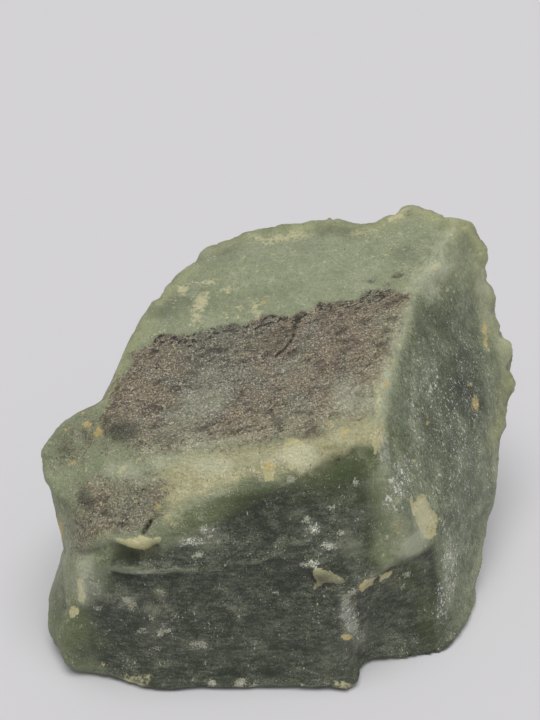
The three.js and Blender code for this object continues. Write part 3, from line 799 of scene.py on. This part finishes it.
# ---- Materials ----
class Graph:
    """Adds nodes to a material and links them."""

    def __init__(self, name):
        self.material = bpy.data.materials.new(name)
        self.material.use_nodes = True
        self.tree = self.material.node_tree
        self.shader = self.tree.nodes["Principled BSDF"]

    def add(self, kind, inputs=None, **settings):
        node = self.tree.nodes.new(kind)
        for key, value in settings.items():
            setattr(node, key, value)
        for key, value in (inputs or {}).items():
            self.feed(node.inputs[key], value)
        return node

    def feed(self, socket, value):
        if isinstance(value, bpy.types.NodeSocket):
            self.tree.links.new(value, socket)
        else:
            socket.default_value = value

    def sums(self, operation, a, b=0.0):
        return self.add("ShaderNodeMath", {0: a, 1: b}, operation=operation).outputs[0]

    def plus(self, a, b):
        return self.sums("ADD", a, b)

    def times(self, a, b):
        return self.sums("MULTIPLY", a, b)

    def mark(self, name):
        return self.add("ShaderNodeAttribute", attribute_name=name).outputs["Fac"]

    def noise(self, vector, scale, detail, roughness, distortion=0.0):
        inputs = dict(Vector=vector, Scale=scale, Detail=detail, Roughness=roughness, Distortion=distortion)
        return self.add("ShaderNodeTexNoise", inputs).outputs["Fac"]

    def step(self, value, low, high, start=0.0, end=1.0):
        """Runs smoothly from start to end as value goes from low to high."""
        inputs = {"Value": value, "From Min": low, "From Max": high, "To Min": start, "To Max": end}
        return self.add("ShaderNodeMapRange", inputs, interpolation_type="SMOOTHSTEP").outputs[0]

    def mix(self, factor, a, b, blend="MIX"):
        node = self.add("ShaderNodeMix", data_type="RGBA", blend_type=blend)
        self.feed(node.inputs["Factor"], factor)
        self.feed(node.inputs[6], a)
        self.feed(node.inputs[7], b)
        return node.outputs[2]

    def blend(self, factor, a, b):
        node = self.add("ShaderNodeMix", data_type="FLOAT")
        self.feed(node.inputs[0], factor)
        self.feed(node.inputs[2], a)
        self.feed(node.inputs[3], b)
        return node.outputs[0]

    def stretched(self, vector, sizes, turn=0):
        """Coordinates turned about the upright axis (degrees), then divided by the sizes."""
        node = self.add("ShaderNodeMapping", {"Vector": vector}, vector_type="TEXTURE")
        node.inputs["Scale"].default_value = sizes
        node.inputs["Rotation"].default_value = (0, 0, math.radians(turn))
        return node.outputs[0]


def colour(red, green, blue):
    """A linear colour from 8-bit sRGB values."""
    shares = [value / 255 for value in (red, green, blue)]
    linear = [(s / 12.92 if s < 0.04045 else ((s + 0.055) / 1.055) ** 2.4) for s in shares]
    return (*linear, 1)


# colours of the fresh breaks, darker partly as painted shade of the front faces
FRESH_AND_SHADED_DARK = colour(55, 61, 46)
FRESH_AND_SHADED_LIGHT = colour(120, 125, 108)
GLOW_GREEN = colour(84, 96, 52)
SKIN_DARK = colour(136, 143, 110)
SKIN_LIGHT = colour(163, 169, 137)
RIGHT_DARK = colour(94, 104, 81)
RIGHT_LIGHT = colour(152, 158, 130)
RIM_GLOW_OLIVE = colour(184, 184, 134)
RIDGE_PALE = colour(186, 190, 158)
SHOULDER_DARK = colour(172, 166, 122)
SHOULDER_LIGHT = colour(210, 204, 162)
SEAM_BROWN = colour(145, 131, 109)
SEAM_GREY = colour(128, 127, 110)
SEAM_FADED = colour(161, 154, 123)
SEAM_DARK = colour(64, 56, 44)
SEAM_LIGHT = colour(206, 199, 180)
CHIP_CREAM = colour(208, 200, 152)
STAIN_CREAM = colour(212, 205, 162)
SPOT_YELLOW = colour(210, 186, 118)
DOT_CREAM = colour(214, 202, 150)
PALE_DUST_AND_HIGHLIGHT = colour(196, 198, 180)
SPARK_WHITE = colour(240, 240, 228)
GROOVE_BLACK = colour(24, 19, 14)
# what painted light with paler tone, and painted shade with darker tone, mix towards
PAINTED_LIGHT_AND_PALER_TONE = (0.73, 0.75, 0.54, 1)
PAINTED_SHADE_AND_DARKER_TONE = (0.02, 0.025, 0.015, 1)
# what the crisp grain multiplies the colour by
GRAIN_DARK = (0.74, 0.74, 0.74, 1)
GRAIN_LIGHT = (1.28, 1.27, 1.25, 1)

# scales of the noises: forms in a metre
CLOUD_SCALE = 70
PATCH_SCALE = 230
STREAK_SCALE = 420
VEIN_SCALE = 620
DOT_SCALE = 800
GRAIN_SCALE = 900
PIT_SCALE = 1100
LONG_GRAIN_SCALE = 1250
SPECK_SCALE = 1700
CRISP_SCALE = 1900
FINE_SCALE = 2600
SPARK_SCALE = 4200


class StoneGraph(Graph):
    """The stone's material, with the noises that parts of its look share."""

    def __init__(self):
        super().__init__("aventurine")
        place = self.add("ShaderNodeTexCoord").outputs["Object"]
        self.place = place
        self.clouds = self.noise(place, CLOUD_SCALE, 3, 0.55, 0.4)
        self.patches = self.noise(place, PATCH_SCALE, 4, 0.6, 0.3)
        self.grain = self.noise(place, GRAIN_SCALE, 3, 0.65)
        self.fine = self.noise(place, FINE_SCALE, 2, 0.7)
        self.streak = self.noise(self.stretched(place, (2.2, 1, 1), 25), STREAK_SCALE, 4, 0.7)
        self.pits = self.noise(self.stretched(place, (1.7, 1, 1), 25), PIT_SCALE, 3, 0.6)
        # speckles on the old skin, lying streaks on the fresh breaks, upright ones on the right face
        lying = self.noise(self.stretched(place, (3, 3, 1)), LONG_GRAIN_SCALE, 3, 0.65, 0.3)
        upright = self.noise(self.stretched(place, (1, 1, 2.6)), LONG_GRAIN_SCALE, 3, 0.65, 0.3)
        unbroken = self.blend(self.mark("right"), self.grain, upright)
        self.middle = self.blend(self.mark("fresh"), unbroken, lying)
        mottle = self.plus(self.times(self.patches, 0.22), self.times(self.middle, 0.4))
        self.mottle = self.plus(mottle, self.times(self.fine, 0.38))
        self.lightness = self.step(self.mottle, 0.38, 0.63)
        self.rough_edge = self.step(self.grain, 0.2, 0.8, -0.3, 0.3)


def green_stone(g):
    """Old skin, right face, fresh breaks (partly painted shade), painted glow, the rims' painted glow, ridge
    and shoulder.
    """
    mottle, patches, lightness = g.mottle, g.patches, g.lightness
    skin = g.mix(lightness, SKIN_DARK, SKIN_LIGHT)
    skin = g.mix(g.mark("right"), skin, g.mix(lightness, RIGHT_DARK, RIGHT_LIGHT))
    # fresh breaks, their dark colours partly painted shade of faces turned from the light
    fresh = g.mix(g.step(mottle, 0.42, 0.66), FRESH_AND_SHADED_DARK, FRESH_AND_SHADED_LIGHT)
    green = g.mix(g.mark("fresh"), skin, fresh)
    # painted glow of light through the stone, a deeper, yellower green
    glow = g.times(g.mark("glow"), g.step(mottle, 0.4, 0.65, 0.85, 0.45))
    green = g.mix(glow, green, GLOW_GREEN)
    # painted glow of light through the thin rims and thin parts, pale olive
    rim = g.sums("MAXIMUM", g.mark("rim"), g.step(g.mark("thin"), 0.35, 0.9))
    green = g.mix(g.times(rim, g.step(patches, 0.3, 0.6, 0.4, 0.85)), green, RIM_GLOW_OLIVE)
    ridge = g.times(g.mark("ridge"), g.step(mottle, 0.42, 0.6, 0.35, 0.85))
    green = g.mix(ridge, green, RIDGE_PALE)
    pale = g.plus(g.mark("shoulder"), g.step(patches, 0.25, 0.75, -0.3, 0.3))
    shoulder = g.mix(lightness, SHOULDER_DARK, SHOULDER_LIGHT)
    return g.mix(g.step(pale, 0.1, 0.95, 0, 0.85), green, shoulder)


def add_dust(g, stone):
    """Whitish dust, and a painted highlight along one ledge's edge: crisp flakes of it, and a thin veil."""
    dust = g.mark("dust")
    # dust, and a painted highlight along one ledge's edge
    flakes = g.plus(dust, g.step(g.middle, 0.25, 0.75, -0.6, 0.4))
    stone = g.mix(g.step(flakes, 0.42, 0.62, 0, 0.5), stone, PALE_DUST_AND_HIGHLIGHT)
    return g.mix(g.times(dust, 0.4), stone, PALE_DUST_AND_HIGHLIGHT)


def brown_seam(g):
    """Sandy brown with dark hollows, streaks, veins and pits."""
    faded, patches, fine = g.mark("faded"), g.patches, g.fine
    brown = g.mix(g.step(g.clouds, 0.4, 0.62), SEAM_BROWN, SEAM_GREY)
    brown = g.mix(g.times(faded, g.step(patches, 0.3, 0.6, 0.5, 0.9)), brown, SEAM_FADED)
    dark = g.times(g.step(fine, 0.34, 0.52, 0.8, 0), g.step(faded, 0, 1, 1, 0.45))
    brown = g.mix(dark, brown, SEAM_DARK)
    brown = g.mix(g.step(fine, 0.56, 0.68), brown, SEAM_LIGHT)
    brown = g.mix(g.step(g.streak, 0.34, 0.52, 0.75, 0), brown, SEAM_DARK)
    winding = g.noise(g.stretched(g.place, (2.6, 1, 1), 28), VEIN_SCALE, 2, 0.5, 0.6)
    off_vein = g.sums("ABSOLUTE", g.sums("SUBTRACT", winding, 0.5))
    veins = g.times(g.step(off_vein, 0, 0.03, 0.85, 0), g.step(patches, 0.46, 0.56))
    brown = g.mix(veins, brown, GROOVE_BLACK)
    # more black pits along the seam's upper edge: real pits, their black partly painted shade under the
    # green band's edge
    holes = g.plus(g.pits, g.step(g.mark("pitted"), 0, 1, 0.04, -0.09))
    return g.mix(g.step(holes, 0.33, 0.38, 0.9, 0), brown, GROOVE_BLACK)


def add_seam(g, stone):
    """The seam over the green stone, with a ragged border."""
    seam = g.mark("seam")
    ragged_seam = g.plus(seam, g.step(g.grain, 0.2, 0.8, -0.5, 0.5))
    cover = g.times(g.step(ragged_seam, 0.25, 0.75), g.step(seam, 0.2, 0.9, 0.6, 1))
    return g.mix(cover, stone, brown_seam(g))


def add_stains_and_chips(g, stone):
    """Cream stains, pale chips, and small cream dots on the old skin."""
    stain = g.plus(g.mark("stain"), g.times(g.rough_edge, 3.0))
    stone = g.mix(g.step(stain, -0.4, 0.7, 0, 0.75), stone, STAIN_CREAM)
    cream = g.mix(g.step(g.mottle, 0.42, 0.62, 0.25, 0), CHIP_CREAM, SHOULDER_DARK)
    cream = g.mix(g.step(g.fine, 0.3, 0.40, 0.15, 0), cream, SEAM_BROWN)
    chip = g.plus(g.mark("chip"), g.rough_edge)
    stone = g.mix(g.step(chip, -0.1, 0.15), stone, cream)
    dots = g.step(g.noise(g.place, DOT_SCALE, 0, 0.5), 0.78, 0.80, 0, 0.5)
    on_old_skin = g.step(g.mark("fresh"), 0, 0.6, 1, 0)
    return g.mix(g.times(dots, on_old_skin), stone, DOT_CREAM)


def add_painted_shade_and_tone(g, stone):
    """Broad painted light and shade, mixed with lighter and darker places of the stone's own tone."""
    shade = g.plus(g.mark("shade"), g.step(g.clouds, 0.3, 0.7, -0.25, 0.25))
    # lighter places are painted light and paler tone, darker places are painted shade and darker tone
    stone = g.mix(g.step(shade, 0, 1, 0, 0.45), stone, PAINTED_LIGHT_AND_PALER_TONE)
    return g.mix(g.step(shade, -1, 0, 0.75, 0), stone, PAINTED_SHADE_AND_DARKER_TONE)


def add_spots_and_flakes(g, stone):
    """Yellow spots and crisp pale flakes."""
    spot = g.plus(g.mark("spot"), g.times(g.rough_edge, 1.5))
    stone = g.mix(g.step(spot, -0.2, 0.3, 0, 0.75), stone, SPOT_YELLOW)
    flake = g.plus(g.mark("flake"), g.step(g.fine, 0.3, 0.7, -0.45, 0.35))
    pale = g.mix(g.lightness, SEAM_FADED, PALE_DUST_AND_HIGHLIGHT)
    return g.mix(g.step(flake, -0.1, 0.2, 0, 0.85), stone, pale)


def add_grain(g, stone):
    """Crisp grain all over, strongest on the seam."""
    crisp = g.noise(g.place, CRISP_SCALE, 3, 0.8)
    tone = g.mix(g.step(crisp, 0.34, 0.66), GRAIN_DARK, GRAIN_LIGHT)
    strength = g.sums("MAXIMUM", g.mark("seam"), g.step(g.patches, 0.35, 0.65, 0.15, 0.6))
    return g.mix(strength, stone, g.mix(1.0, stone, tone, "MULTIPLY"))


def add_grit(g, stone):
    """Dark freckles, and two sizes of white crumbs."""
    grit = g.mark("grit")
    density = g.plus(g.step(grit, 0, 1, -0.02, 0.12), g.step(g.patches, 0.3, 0.7, -0.05, 0.05))
    whiteness = g.step(grit, 0.1, 1, 0.45, 0.9)
    specks = g.noise(g.stretched(g.place, (1, 1, 1.8)), SPECK_SCALE, 1, 0.6)
    sparks = g.noise(g.place, SPARK_SCALE, 0, 0.5)
    stone = g.mix(g.step(specks, 0.26, 0.31, 0.5, 0), stone, GROOVE_BLACK)
    crumbs = g.step(g.plus(specks, density), 0.71, 0.735)
    stone = g.mix(g.times(crumbs, whiteness), stone, SPARK_WHITE)
    small_crumbs = g.step(g.plus(sparks, density), 0.76, 0.79)
    return g.mix(g.times(small_crumbs, whiteness), stone, SPARK_WHITE)


def add_worn_edges_dark_hollows_and_cracks(g, stone):
    """Pale worn edges, dark hollows and cracks."""
    edge = g.mark("edge")
    wear = g.plus(edge, g.step(g.middle, 0.3, 0.7, -0.12, 0.04))
    stone = g.mix(g.step(wear, 0.08, 0.24, 0, 0.35), stone, SKIN_LIGHT)
    # darker where the skin is hollow
    stone = g.mix(g.step(edge, -0.25, -0.06, 0.4, 0), stone, GROOVE_BLACK)
    return g.mix(g.step(g.mark("crack"), 0, 0.9, 0, 0.9), stone, GROOVE_BLACK)


def grain_bump(g):
    """The finest relief, rougher on the seam."""
    height = g.plus(g.times(g.grain, 0.4), g.times(g.middle, 0.35))
    height = g.plus(height, g.times(g.fine, 0.25))
    height = g.plus(height, g.times(g.plus(g.pits, g.streak), g.mark("seam")))
    return g.add("ShaderNodeBump", {"Strength": 0.8, "Distance": 0.0007, "Height": height}).outputs[0]


def stone_material():
    g = StoneGraph()
    stone = add_dust(g, green_stone(g))
    stone = add_seam(g, stone)
    stone = add_stains_and_chips(g, stone)
    stone = add_painted_shade_and_tone(g, stone)
    stone = add_spots_and_flakes(g, stone)
    stone = add_grain(g, stone)
    stone = add_grit(g, stone)
    stone = add_worn_edges_dark_hollows_and_cracks(g, stone)
    sockets = g.shader.inputs
    g.feed(sockets["Base Color"], stone)
    g.feed(sockets["Roughness"], g.step(g.grain, 0.3, 0.7, 0.38, 0.66))
    g.feed(sockets["Normal"], grain_bump(g))
    sockets["Specular IOR Level"].default_value = 0.45
    sockets["Subsurface Weight"].default_value = 0.12
    sockets["Subsurface Radius"].default_value = (1.0, 1.25, 0.7)
    sockets["Subsurface Scale"].default_value = 0.001
    return g.material


def floor_material():
    g = Graph("floor_paper")
    sockets = g.shader.inputs
    sockets["Base Color"].default_value = FLOOR_GREY
    sockets["Roughness"].default_value = 0.9
    sockets["Specular IOR Level"].default_value = 0.1
    return g.material


def add_stone():
    mesh = fine_mesh()
    carve(Surface(mesh))
    mesh.materials.append(stone_material())
    stone = new_object("raw_aventurine", mesh)
    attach(stone, "root")
    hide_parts(NODE)


# ---- Studio ----
def add_camera():
    data = bpy.data.cameras.new("reference_view")
    data.lens = LENS
    data.sensor_width = SENSOR
    data.clip_start = 0.01
    camera = new_object("reference_view", data)
    camera.location = Vector(CAMERA_PLACE) * MM
    camera.rotation_euler = (math.radians(90 - CAMERA_PITCH), 0, 0)
    bpy.context.scene.camera = camera


def add_floor():
    bpy.ops.mesh.primitive_plane_add(size=FLOOR_SIZE, location=(0, 0, 0))
    floor = bpy.context.object
    floor.name = "floor"
    floor.data.materials.append(floor_material())


def add_softbox():
    """One very wide soft light from above."""
    data = bpy.data.lights.new("top_softbox", "SUN")
    data.angle = math.radians(SOFTBOX_WIDTH)
    data.energy = SOFTBOX_STRENGTH
    light = new_object("top_softbox", data)
    light.rotation_euler = (math.radians(SOFTBOX_LEAN), 0, 0)


def add_sky():
    world = bpy.data.worlds.new("studio")
    world.use_nodes = True
    background = world.node_tree.nodes["Background"]
    background.inputs["Color"].default_value = SKY_WHITE
    background.inputs["Strength"].default_value = SKY_STRENGTH
    bpy.context.scene.world = world


add_camera()
add_floor()
add_softbox()
add_sky()
bpy.context.scene.view_settings.view_transform = "Standard"
add_stone()
